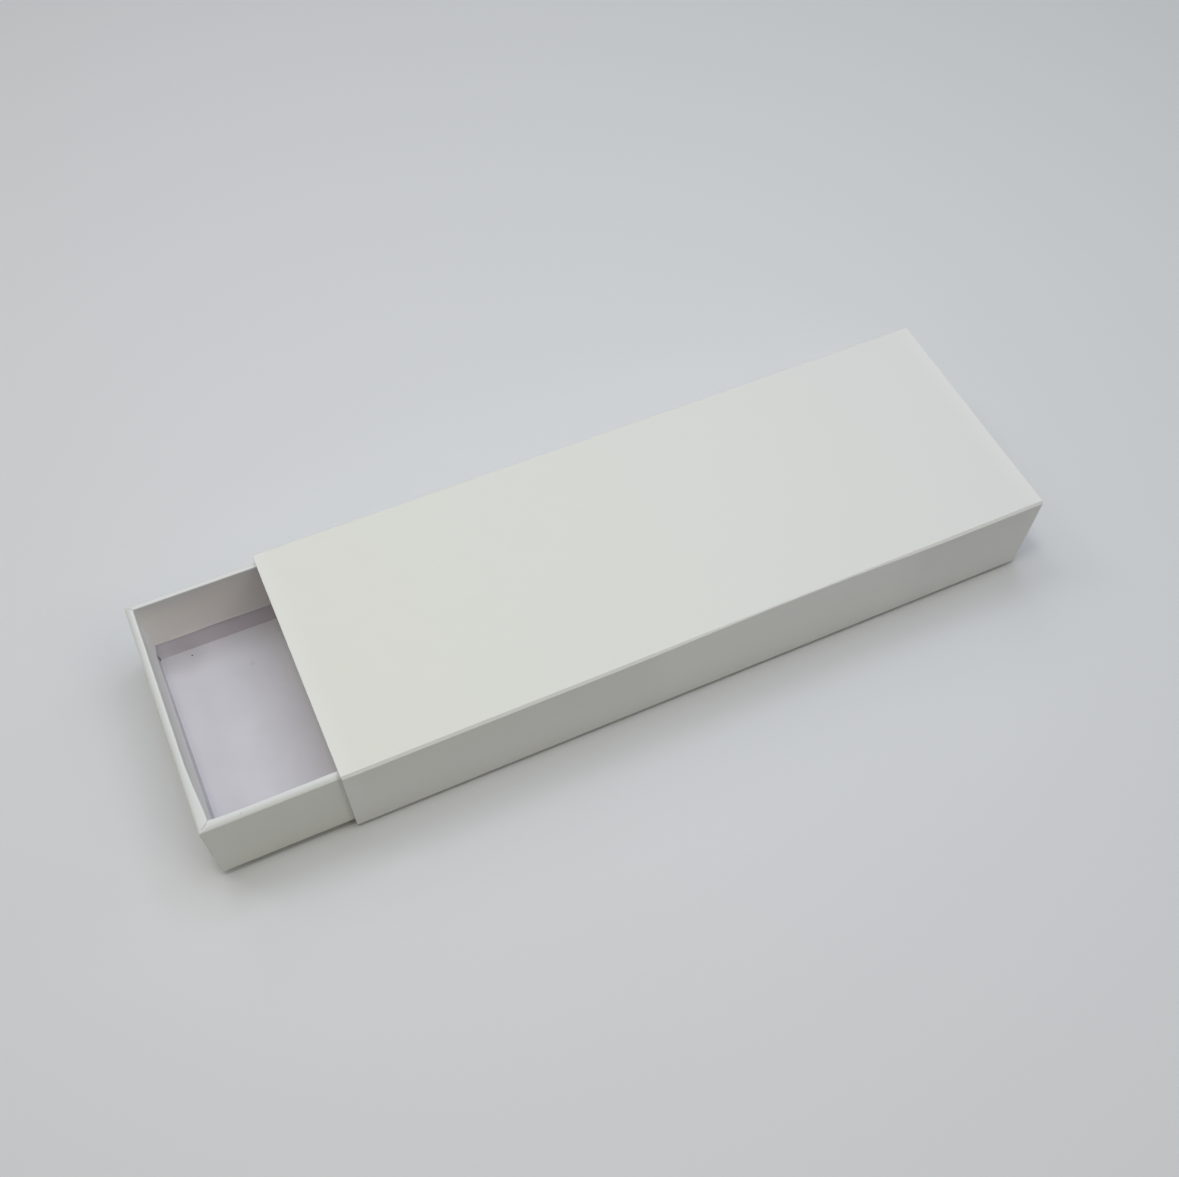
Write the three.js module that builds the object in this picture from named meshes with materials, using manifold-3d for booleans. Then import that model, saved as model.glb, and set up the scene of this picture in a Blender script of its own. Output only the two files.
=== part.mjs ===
// A gift box for papers and keepsakes: a wrapped board tray that slides in a wrapped board sleeve.
// The sleeve is open at both ends, and the tray stands partly out of its left mouth.
// Units are millimetres. +X runs along the box, +Y to its back and +Z up.
// The origin is the middle of the sleeve's underside, which is the face that the box rests on.
import * as THREE from "three";
import { mergeVertices } from "three/addons/utils/BufferGeometryUtils.js";
import Module from "manifold-3d";

const wasm = await Module();
wasm.setup();

// The sleeve's outside sizes and the stock that it is made of.
const sleeveLength = 200;
const sleeveWidth = 71;
const sleeveHeight = 27.5;
const sleeveBoard = 0.8;
const sleeveWrapPaper = 0.15;
const sleeveLiningPaper = 0.1;
const sleeveTurnIn = 16;
const sleeveMouthFold = 0.3;
const liningButtGap = 0.3;

// The tray's stock, and how it fits in the sleeve.
const trayBoard = 1.5;
const trayWrapPaper = 0.15;
const trayLiningPaper = 0.1;
const trayTurnIn = 18;
const trayEndInset = 0.5;
const traySideClearance = 0.2;
const trayUnderClearance = 0.1;
const trayOverClearance = 0.3;

// How far the tray stands out of the sleeve's left mouth as it lies here.
const trayDrawn = 34.7;

// The edge softened on the top of each tray board, under the wrap.
const rimRadius = 0.5;

// The gummed tape that holds each upright corner of the tray together under the wrap.
const cornerTape = 0.1;
const tapeReach = 12;
const tapeMargin = 2;

// The opening between two turn-ins at an inside corner of the tray: narrow at the rim, wide at the foot.
const cornerCutHead = 0.3;
const cornerCutFoot = 2;
const cutOverrun = 0.5;

// Steps in a quarter turn of folded paper.
const foldSteps = 4;

// How much the leg of a 45 degree bevel shrinks for each unit that its outline is set inwards.
const bevelShare = 2 - Math.SQRT2;

// The sleeve's insets from its outside faces, from the wrap inwards.
const sleeveBoardOuter = sleeveWrapPaper;
const sleeveBoardInner = sleeveBoardOuter + sleeveBoard;
const sleeveTurnInFace = sleeveBoardInner + sleeveWrapPaper;
const sleeveLiningFace = sleeveBoardInner + sleeveLiningPaper;
const sleeveHalfLength = sleeveLength / 2;
const sleeveHalfWidth = sleeveWidth / 2;

// The sleeve's boards meet at their inner edges, and the wrap bridges the notch outside them in a flat.
const bridgeLeg = sleeveBoard + sleeveWrapPaper * bevelShare;

// The tray's outside sizes follow the sleeve's mouth, which its turn-ins make the narrowest place.
const trayLength = sleeveLength - 2 * trayEndInset;
const trayHalfLength = trayLength / 2;
const trayHalfWidth = sleeveHalfWidth - sleeveTurnInFace - traySideClearance;
const trayUnderside = sleeveTurnInFace + trayUnderClearance;
const trayRim = sleeveHeight - sleeveTurnInFace - trayOverClearance;

// The tray's insets from its outside faces, from the wrap inwards. The tape keeps the wrap off the board.
const trayBoardOuter = trayWrapPaper + cornerTape;
const trayBoardInner = trayBoardOuter + trayBoard;
const trayLiningFace = trayBoardInner + trayLiningPaper;
const trayTurnInFace = trayLiningFace + trayWrapPaper;

// The tray's levels, from its underside up.
const trayBaseLow = trayUnderside + trayBoardOuter;
const trayBaseHigh = trayBaseLow + trayBoard;
const trayFloor = trayBaseHigh + trayLiningPaper;
const trayBoardTop = trayRim - trayBoardOuter;
const rimSpring = trayBoardTop - rimRadius;
const turnInFoot = trayRim - trayTurnIn;

// The tray lies this far along the sleeve, measured from middle to middle.
const trayPlace = trayHalfLength - trayDrawn - sleeveHalfLength;

// Materials, one for each stock.
const whitePaper = new THREE.MeshStandardMaterial({ color: 0xeff0ee, roughness: 0.62, metalness: 0 });
const liningPaper = new THREE.MeshStandardMaterial({ color: 0xe3e2e8, roughness: 0.7, metalness: 0 });
const greyBoard = new THREE.MeshStandardMaterial({ color: 0x9b9890, roughness: 0.9, metalness: 0 });
const gummedTape = new THREE.MeshStandardMaterial({ color: 0xb8925f, roughness: 0.75, metalness: 0 });

// A closed mesh from loose triangles, without the ones that a corner has drawn to nothing.
function closedMesh(corners) {
  const loose = new THREE.BufferGeometry();
  loose.setAttribute("position", new THREE.Float32BufferAttribute(corners.flat(), 3));
  const merged = mergeVertices(loose);
  const source = merged.index.array;
  const kept = [];
  for (let i = 0; i < source.length; i += 3) {
    const [a, b, c] = source.slice(i, i + 3);
    if (a !== b && b !== c && c !== a) kept.push(a, b, c);
  }
  merged.setIndex(kept);
  merged.computeVertexNormals();
  return merged;
}

// A solid through a run of rings, each with as many points as the next.
// The run either comes back to its first ring, as a turned-in tube does, or ends in two flat caps.
function loft(rings, comesBack) {
  const corners = [];
  const spans = comesBack ? rings.length : rings.length - 1;
  for (let i = 0; i < spans; i += 1) {
    const ring = rings[i];
    const next = rings[(i + 1) % rings.length];
    ring.forEach((point, p) => {
      const q = (p + 1) % ring.length;
      corners.push(point, ring[q], next[q], point, next[q], next[p]);
    });
  }
  if (!comesBack) {
    const first = rings[0];
    const last = rings[rings.length - 1];
    for (let p = 1; p + 1 < first.length; p += 1) {
      corners.push(first[0], first[p + 1], first[p], last[0], last[p], last[p + 1]);
    }
  }
  return closedMesh(corners);
}

// A quarter of an ellipse in a section, as [across, up] points.
function quarterFold(across, up, reachAcross, reachUp, fromAngle, toAngle) {
  const points = [];
  for (let i = 0; i <= foldSteps; i += 1) {
    const angle = fromAngle + ((toAngle - fromAngle) * i) / foldSteps;
    points.push([across + reachAcross * Math.cos(angle), up + reachUp * Math.sin(angle)]);
  }
  return points;
}

// A mesh that carries its node's name.
function named(name, geometry, material) {
  const mesh = new THREE.Mesh(geometry, material);
  mesh.name = name;
  return mesh;
}

// A flat board as a box between two corners.
function boardBetween(low, high) {
  const size = high.map((value, axis) => value - low[axis]);
  const geometry = new THREE.BoxGeometry(...size);
  geometry.translate(...low.map((value, axis) => value + size[axis] / 2));
  return geometry;
}

// A manifold-3d solid from a closed geometry, and a geometry back from a solid.
function solidFrom(geometry) {
  return new wasm.Manifold(
    new wasm.Mesh({
      numProp: 3,
      vertProperties: geometry.attributes.position.array,
      triVerts: new Uint32Array(geometry.index.array),
    }),
  );
}

function geometryFrom(solid) {
  const mesh = solid.getMesh();
  const geometry = new THREE.BufferGeometry();
  geometry.setAttribute("position", new THREE.BufferAttribute(mesh.vertProperties, 3));
  geometry.setIndex(new THREE.BufferAttribute(mesh.triVerts, 1));
  geometry.computeVertexNormals();
  return geometry;
}

// The sleeve's outline across the box at one place along it, bevelled at its four long edges.
function sleeveOutline(x, inset, bevel) {
  const side = sleeveHalfWidth - inset;
  const low = inset;
  const high = sleeveHeight - inset;
  return [
    [x, bevel - side, low],
    [x, side - bevel, low],
    [x, side, low + bevel],
    [x, side, high - bevel],
    [x, side - bevel, high],
    [x, bevel - side, high],
    [x, -side, high - bevel],
    [x, -side, low + bevel],
  ];
}

// The wrap folded over one mouth, from the outside faces to the foot of its turn-in and back under it.
// Direction is 1 at the right mouth and -1 at the left, where the rings run the other way.
function mouthRings(direction) {
  const fold = sleeveMouthFold;
  const end = sleeveHalfLength;
  const rings = [];
  quarterFold(fold, end - fold, fold, fold, Math.PI, Math.PI / 2).forEach(([inset, along]) => {
    rings.push(sleeveOutline(along * direction, inset, bridgeLeg - inset * bevelShare));
  });
  const inner = sleeveTurnInFace - fold;
  quarterFold(inner, end - fold, fold, fold, Math.PI / 2, 0).forEach(([inset, along]) => {
    rings.push(sleeveOutline(along * direction, inset, 0));
  });
  const foot = (end - sleeveTurnIn) * direction;
  const boardEnd = (end - sleeveWrapPaper) * direction;
  rings.push(sleeveOutline(foot, sleeveTurnInFace, 0));
  rings.push(sleeveOutline(foot, sleeveBoardInner, 0));
  rings.push(sleeveOutline(boardEnd, sleeveBoardInner, 0));
  rings.push(sleeveOutline(boardEnd, sleeveBoardOuter, sleeveBoard));
  return direction > 0 ? rings : rings.reverse();
}

// One sheet of white paper round the sleeve's boards, turned in at both mouths.
function sleeveWrap() {
  return loft([...mouthRings(1), ...mouthRings(-1)], true);
}

// The paper that lines the sleeve between the feet of its turn-ins.
function sleeveLining() {
  const end = sleeveHalfLength - sleeveTurnIn - liningButtGap;
  const rings = [
    sleeveOutline(-end, sleeveBoardInner, 0),
    sleeveOutline(end, sleeveBoardInner, 0),
    sleeveOutline(end, sleeveLiningFace, 0),
    sleeveOutline(-end, sleeveLiningFace, 0),
  ];
  return loft(rings, true);
}

// The four boards of the sleeve, cut square. They meet only along their inner edges.
function sleeveBoards() {
  const end = sleeveHalfLength - sleeveWrapPaper;
  const outer = sleeveHalfWidth - sleeveBoardOuter;
  const inner = sleeveHalfWidth - sleeveBoardInner;
  const top = sleeveHeight - sleeveBoardOuter;
  const ceiling = sleeveHeight - sleeveBoardInner;
  return {
    sleeve_top_board: boardBetween([-end, -inner, ceiling], [end, inner, top]),
    sleeve_bottom_board: boardBetween([-end, -inner, sleeveBoardOuter], [end, inner, sleeveBoardInner]),
    sleeve_front_board: boardBetween([-end, -outer, sleeveBoardInner], [end, -inner, ceiling]),
    sleeve_back_board: boardBetween([-end, inner, sleeveBoardInner], [end, outer, ceiling]),
  };
}

// A point on one side of the tray. Along runs from -1 to 1 between the mitres at the side's two ends.
const traySides = {
  front: (along, inset, z) => [along * (trayHalfLength - inset), inset - trayHalfWidth, z],
  right_end: (along, inset, z) => [trayHalfLength - inset, along * (trayHalfWidth - inset), z],
  back: (along, inset, z) => [-along * (trayHalfLength - inset), trayHalfWidth - inset, z],
  left_end: (along, inset, z) => [inset - trayHalfLength, -along * (trayHalfWidth - inset), z],
};

// The tray's four corners at one inset and level, as a ring.
function trayOutline([inset, z]) {
  return Object.values(traySides).map((place) => place(-1, inset, z));
}

// The path over a wall's top edge from its outside to its inside, at a distance off the board.
function rimFold(offOutside, offInside, offTop) {
  const reachUp = rimRadius + offTop;
  const outside = rimRadius + offOutside;
  const inside = rimRadius + offInside;
  const quarter = Math.PI / 2;
  return [
    ...quarterFold(trayBoardOuter + rimRadius, rimSpring, outside, reachUp, Math.PI, quarter),
    ...quarterFold(trayBoardInner - rimRadius, rimSpring, inside, reachUp, quarter, 0),
  ];
}

// The tray's base board, bevelled all round where the board is grooved for its fold.
function trayBaseBoard() {
  return loft([trayOutline([trayBoardOuter, trayBaseLow]), trayOutline([trayBoardInner, trayBaseHigh])], false);
}

// One wall of the tray, mitred to its neighbours and to the base, with its top edges softened.
function trayWallBoard(place) {
  const section = [
    [trayBoardOuter, trayBaseLow],
    [trayBoardInner, trayBaseHigh],
    ...rimFold(0, 0, 0).reverse(),
  ];
  return loft([-1, 1].map((along) => section.map(([inset, z]) => place(along, inset, z))), false);
}

// The tape round one upright corner of the tray, between its boards and the wrap.
// The signs say which corner: -1 is the left or the front, and 1 the right or the back.
function cornerTapeStrip(signX, signY) {
  const outerX = trayHalfLength - trayWrapPaper;
  const outerY = trayHalfWidth - trayWrapPaper;
  const boardX = trayHalfLength - trayBoardOuter;
  const boardY = trayHalfWidth - trayBoardOuter;
  const outline = [
    [outerX, outerY],
    [boardX - tapeReach, outerY],
    [boardX - tapeReach, boardY],
    [boardX, boardY],
    [boardX, boardY - tapeReach],
    [outerX, boardY - tapeReach],
  ];
  const shape = new THREE.Shape(outline.map(([x, y]) => new THREE.Vector2(signX * x, signY * y)));
  const low = trayBaseLow + tapeMargin;
  const depth = rimSpring - tapeMargin - low;
  const strip = new THREE.ExtrudeGeometry(shape, { depth, bevelEnabled: false });
  strip.translate(0, 0, low);
  return strip;
}

// The opening that the mitred turn-ins leave at one inside corner, as a tapering post to cut away.
function cornerOpening(signX, signY) {
  const levels = [
    [turnInFoot - cutOverrun, cornerCutFoot],
    [rimSpring, cornerCutHead],
  ];
  const rings = levels.map(([z, reach]) => {
    const far = trayLiningFace - cutOverrun;
    const near = trayLiningFace + reach;
    const ring = [
      [trayHalfLength - near, trayHalfWidth - near],
      [trayHalfLength - far, trayHalfWidth - near],
      [trayHalfLength - far, trayHalfWidth - far],
      [trayHalfLength - near, trayHalfWidth - far],
    ];
    const turned = signX * signY > 0 ? ring : ring.reverse();
    return turned.map(([x, y]) => [signX * x, signY * y, z]);
  });
  return loft(rings, false);
}

// One sheet of white paper under the tray, up its walls, over the rim and down inside.
function trayWrap() {
  const outside = rimFold(cornerTape + trayWrapPaper, trayLiningPaper + trayWrapPaper, trayBoardOuter);
  const inside = rimFold(cornerTape, trayLiningPaper, cornerTape).reverse();
  const path = [
    [0, trayUnderside],
    ...outside,
    [trayTurnInFace, turnInFoot],
    [trayLiningFace, turnInFoot],
    ...inside,
    [trayWrapPaper, trayUnderside + trayWrapPaper],
  ];
  let sheet = solidFrom(loft(path.map(trayOutline), false));
  for (const signX of [-1, 1]) {
    for (const signY of [-1, 1]) {
      sheet = sheet.subtract(solidFrom(cornerOpening(signX, signY)));
    }
  }
  return geometryFrom(sheet);
}

// The pale paper that lines the tray's floor and walls, and shows below the turn-ins.
function trayLining() {
  const path = [
    [trayBoardInner, trayBaseHigh],
    [trayBoardInner, rimSpring],
    [trayLiningFace, rimSpring],
    [trayLiningFace, trayFloor],
  ];
  return loft(path.map(trayOutline), false);
}

// The sleeve stays put, with everything that is glued to it.
const sleeve = new THREE.Group();
for (const [name, geometry] of Object.entries(sleeveBoards())) {
  sleeve.add(named(name, geometry, greyBoard));
}
sleeve.add(named("sleeve_wrap", sleeveWrap(), whitePaper));
sleeve.add(named("sleeve_lining", sleeveLining(), liningPaper));

// The tray is one moving group, drawn part of the way out to the left.
const tray = new THREE.Group();
tray.position.x = trayPlace;
tray.add(named("tray_base_board", trayBaseBoard(), greyBoard));
for (const [side, place] of Object.entries(traySides)) {
  tray.add(named(`tray_${side}_board`, trayWallBoard(place), greyBoard));
}
for (const [sideY, signY] of [["front", -1], ["back", 1]]) {
  for (const [sideX, signX] of [["left", -1], ["right", 1]]) {
    tray.add(named(`tray_${sideY}_${sideX}_tape`, cornerTapeStrip(signX, signY), gummedTape));
  }
}
tray.add(named("tray_wrap", trayWrap(), whitePaper));
tray.add(named("tray_lining", trayLining(), liningPaper));

const giftBox = new THREE.Group();
giftBox.add(sleeve, tray);

export default giftBox;
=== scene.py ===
"""A white gift box for papers and keepsakes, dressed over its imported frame.

A wrapped board tray slides in a wrapped board sleeve. The sleeve is open at both ends, and the tray stands
partly out of its left mouth. Shapes are made in millimetres and handed over in metres. +X runs along the
box, +Y to its back and +Z up.
"""

import logging
import math
from collections.abc import Callable, Iterable
from dataclasses import dataclass
from enum import Enum
from typing import Any

import bmesh
import bpy
from bmesh.types import BMEdge, BMesh, BMFace, BMLayerItem, BMVert
from bpy.types import ID, Material, Node, NodeSocket, NodeTree, Object
from mathutils import Matrix, Vector


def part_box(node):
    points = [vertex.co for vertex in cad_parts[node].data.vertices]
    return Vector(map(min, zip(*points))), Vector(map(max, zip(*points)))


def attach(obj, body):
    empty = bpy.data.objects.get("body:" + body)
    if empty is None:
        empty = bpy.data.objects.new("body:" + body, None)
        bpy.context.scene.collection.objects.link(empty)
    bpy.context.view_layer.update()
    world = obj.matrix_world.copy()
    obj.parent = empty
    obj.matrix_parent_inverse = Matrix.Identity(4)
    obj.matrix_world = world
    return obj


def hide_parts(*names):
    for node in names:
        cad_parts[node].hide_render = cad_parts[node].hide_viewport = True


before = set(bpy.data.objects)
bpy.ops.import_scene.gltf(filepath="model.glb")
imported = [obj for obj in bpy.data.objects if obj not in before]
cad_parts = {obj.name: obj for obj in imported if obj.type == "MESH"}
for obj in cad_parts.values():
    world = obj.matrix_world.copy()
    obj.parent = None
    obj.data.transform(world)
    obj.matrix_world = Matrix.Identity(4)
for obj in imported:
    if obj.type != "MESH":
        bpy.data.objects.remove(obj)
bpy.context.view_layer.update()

LOG = logging.getLogger("gift_box")

MM = 0.001
FLAT_ANGLE = math.radians(28)

# How near points lie, in millimetres, to be merged, to count as touching, and to count as close by.
WELD = 1e-4
TOUCH = 1e-3
CLOSE = 0.01

# How much of its normal points one way where a face looks squarely, or mostly, that way.
SQUARELY = 0.999
MOSTLY = 0.9

# With this setting a Mix node mixes colours. They go into its inputs 6 and 7 and out of its output 2.
COLOURS = {"data_type": "RGBA"}

# The plain pale grey behind the table top.
BACKDROP = "#cdd0d3"


class Body(Enum):
    """The two bodies that the pieces ride on."""

    SLEEVE = "sleeve"
    TRAY = "tray"


class Stock(Enum):
    """The stocks that new pieces are cut from, named after the record's material slots."""

    WRAP = "wrap_paper"
    LINING = "lining_paper"
    BOARD = "greyboard"


class Mouth(Enum):
    """The sleeve's two open ends, each with the side of the box that it is on."""

    LEFT = -1
    RIGHT = 1


class Wall(Enum):
    """The tray's four walls, each with the way that it faces from the middle of the tray."""

    FRONT = (0, -1)
    BACK = (0, 1)
    LEFT_END = (-1, 0)
    RIGHT_END = (1, 0)

    @property
    def is_long(self) -> bool:
        """Tell whether the wall runs along the box."""
        return self.value[0] == 0

    @property
    def out(self) -> Vector:
        """The way that the wall faces."""
        return Vector((*self.value, 0))


# Small helpers


def linear(hex_colour: str) -> tuple[float, float, float, float]:
    """Turn an sRGB hex value into a linear colour.

    Args:
        hex_colour: The colour, such as "#e6e7e2".

    Returns:
        Red, green, blue and a full alpha.
    """
    channels = [int(hex_colour[i : i + 2], 16) / 255 for i in (1, 3, 5)]
    red, green, blue = (c / 12.92 if c <= 0.04045 else ((c + 0.055) / 1.055) ** 2.4 for c in channels)
    return red, green, blue, 1.0


def per(size_mm: float) -> float:
    """Give the texture scale at which one feature is this many millimetres across."""
    return 1 / (size_mm * MM)


def ramp(value: float, start: float, end: float) -> float:
    """Rise smoothly from 0 at start to 1 at end, and stay level outside them."""
    share = min(max((value - start) / (end - start), 0.0), 1.0)
    return share * share * (3 - 2 * share)


def add_node(
    tree: NodeTree,
    kind: str,
    settings: dict[str, Any] | None = None,
    links: dict[str | int, Any] | None = None,
) -> Node:
    """Add a node to a tree, with its settings and what goes into its sockets.

    Args:
        tree: The material's or the world's node tree.
        kind: The node's type name, without "ShaderNode".
        settings: Values of the node's own properties.
        links: For each input's name or number, either a value or the output socket that feeds it.

    Returns:
        The new node.
    """
    node = tree.nodes.new("ShaderNode" + kind)
    for name, value in (settings or {}).items():
        setattr(node, name, value)
    for name, value in (links or {}).items():
        if isinstance(value, NodeSocket):
            tree.links.new(value, node.inputs[name])
        else:
            node.inputs[name].default_value = value
    return node


def cut(
    bm: BMesh, point: Iterable[float], normal: Iterable[float], only: list[BMFace] | None = None
) -> list[BMVert]:
    """Score a mesh along a plane.

    Args:
        bm: The mesh.
        point: A point on the plane.
        normal: The plane's normal.
        only: The faces that are cut, or None for all of them.

    Returns:
        The points that lie on the cut.
    """
    if only is None:
        geom = [*bm.verts, *bm.edges, *bm.faces]
    else:
        geom = [*{v for f in only for v in f.verts}, *{e for f in only for e in f.edges}, *only]
    made = bmesh.ops.bisect_plane(bm, geom=geom, dist=1e-5, plane_co=Vector(point), plane_no=Vector(normal))
    return [g for g in made["geom_cut"] if isinstance(g, BMVert)]


def cut_evenly(bm: BMesh, axis: Iterable[float], half: float, station: float) -> None:
    """Score a mesh across one axis, so that it can bend.

    Args:
        bm: The mesh.
        axis: The axis.
        half: Half of the mesh's length along it.
        station: The least distance between two cuts.
    """
    axis = Vector(axis)
    steps = math.floor(2 * half / station)
    for i in range(1, steps):
        cut(bm, axis * (-half + i * 2 * half / steps), axis)


def bevel(
    bm: BMesh, geom: list[BMEdge | BMVert], offset: float, segments: int, affect: str = "EDGES"
) -> None:
    """Bevel edges or corners with an even round.

    Args:
        bm: The mesh.
        geom: The edges or corners.
        offset: The bevel's reach on each side.
        segments: The steps in it.
        affect: What is bevelled.
    """
    bmesh.ops.bevel(
        bm,
        geom=geom,
        offset=offset,
        offset_type="OFFSET",
        segments=segments,
        profile=0.5,
        affect=affect,
        material=-1,
        clamp_overlap=True,
    )


def block(low: Iterable[float], high: Iterable[float]) -> BMesh:
    """Start a mesh as a block between two corners.

    Args:
        low: The lowest corner.
        high: The highest corner.

    Returns:
        The new mesh.
    """
    low, high = Vector(low), Vector(high)
    bm = bmesh.new()
    bmesh.ops.create_cube(bm, size=1.0)
    bmesh.ops.scale(bm, vec=high - low, verts=bm.verts)
    bmesh.ops.translate(bm, vec=(low + high) / 2, verts=bm.verts)
    return bm


def remember(bm: BMesh) -> BMLayerItem:
    """Note where each point of a sheet is now, for the folds that start from it.

    Args:
        bm: The mesh.

    Returns:
        The layer that holds the places.
    """
    home = bm.verts.layers.float_vector.new("home")
    for vert in bm.verts:
        vert[home] = vert.co
    return home


def carry(bm: BMesh, edges: list[BMEdge], place: Callable[[BMVert], Vector]) -> list[BMEdge]:
    """Draw the edge of a sheet on by one step.

    Args:
        bm: The mesh.
        edges: The edges that the step starts from.
        place: Gives each new point its place.

    Returns:
        The new free edges.
    """
    made = bmesh.ops.extrude_edge_only(bm, edges=edges)["geom"]
    points = {g for g in made if isinstance(g, BMVert)}
    for point in points:
        point.co = place(point)
    return [g for g in made if isinstance(g, BMEdge) and set(g.verts) <= points]


def close_seams(bm: BMesh) -> None:
    """Merge the points that meet, and turn every face to the sheet's outer side."""
    bmesh.ops.remove_doubles(bm, verts=bm.verts, dist=WELD)
    bmesh.ops.recalc_face_normals(bm, faces=bm.faces)


def mark(bm: BMesh, attribute: str, strength: Callable[[BMVert], float]) -> None:
    """Write a number from 0 to 1 for each point, such as how worn it is, as an attribute of the mesh.

    Args:
        bm: The mesh.
        attribute: The attribute's name.
        strength: Gives a point's number.
    """
    layer = bm.verts.layers.float.new(attribute)
    for vert in bm.verts:
        vert[layer] = min(max(strength(vert), 0.0), 1.0)


def add_object(name: str, data: ID) -> Object:
    """Add an object to the scene.

    Args:
        name: The object's name.
        data: Its mesh, lamp or camera.

    Returns:
        The object.
    """
    added = bpy.data.objects.new(name, data)
    bpy.context.scene.collection.objects.link(added)
    return added


# Finishes


@dataclass(frozen=True)
class Finish:
    """What a surface is made of, laid on as one material."""

    name: str

    def make(self) -> Material:
        """Build the material.

        Returns:
            The finished material.
        """
        material = bpy.data.materials.new(self.name)
        material.use_nodes = True
        tree = material.node_tree
        tree.nodes.clear()
        place = add_node(tree, "TexCoord").outputs["Object"]
        add_node(tree, "OutputMaterial", {}, {"Surface": self.surface(tree, place)})
        return material

    def surface(self, tree: NodeTree, place: NodeSocket) -> NodeSocket:
        """Add the finish's own nodes.

        Args:
            tree: The material's tree.
            place: The point on the surface.

        Returns:
            The finish's shader.
        """
        raise NotImplementedError

    @staticmethod
    def layered(tree: NodeTree, ground: str, layers: Iterable[tuple[NodeSocket, str]]) -> NodeSocket:
        """Lay colours over one another.

        Args:
            tree: The material's tree.
            ground: The lowest colour.
            layers: For each colour over it, how strongly it covers what is under it, and its hex value.

        Returns:
            The colour that shows.
        """
        colour = linear(ground)
        for share, laid in layers:
            colour = add_node(tree, "Mix", COLOURS, {0: share, 6: colour, 7: linear(laid)}).outputs[2]
        return colour

    @staticmethod
    def embossed(
        tree: NodeTree,
        colour: NodeSocket,
        height: NodeSocket,
        relief: tuple[float, float],
        gloss: dict[str, Any],
    ) -> NodeSocket:
        """Give a colour its fine relief and its shader.

        Args:
            tree: The material's tree.
            colour: The colour that shows.
            height: How far each place stands up.
            relief: The relief's strength, and its depth in millimetres.
            gloss: The shader's other inputs.

        Returns:
            The shader.
        """
        strength, depth = relief
        raised = {"Strength": strength, "Distance": depth * MM, "Height": height}
        bump = add_node(tree, "Bump", {}, raised).outputs[0]
        laid = {"Base Color": colour, "Normal": bump, **gloss}
        return add_node(tree, "BsdfPrincipled", {}, laid).outputs[0]


@dataclass(frozen=True)
class Mark:
    """A fleck, a smudge or a patch of painted shade at one place on a surface, in millimetres, full at its
    core and gone at its edge.
    """

    place: tuple[float, float, float]
    across: float
    depth: float
    core_share: float = 0.2
    edge_share: float = 0.6

    def cover(self, tree: NodeTree, place: NodeSocket) -> NodeSocket:
        """Give how strongly the mark covers what is under it.

        Args:
            tree: The material's tree.
            place: The point on the surface.

        Returns:
            The mark's share of the colour.
        """
        centre = tuple(value * MM for value in self.place)
        away = add_node(tree, "VectorMath", {"operation": "DISTANCE"}, {0: place, 1: centre}).outputs["Value"]
        core, edge = (self.across * share * MM for share in (self.core_share, self.edge_share))
        fading = {"Value": away, "From Min": core, "From Max": edge, "To Min": self.depth, "To Max": 0.0}
        return add_node(tree, "MapRange", {"interpolation_type": "SMOOTHSTEP"}, fading).outputs[0]


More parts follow.
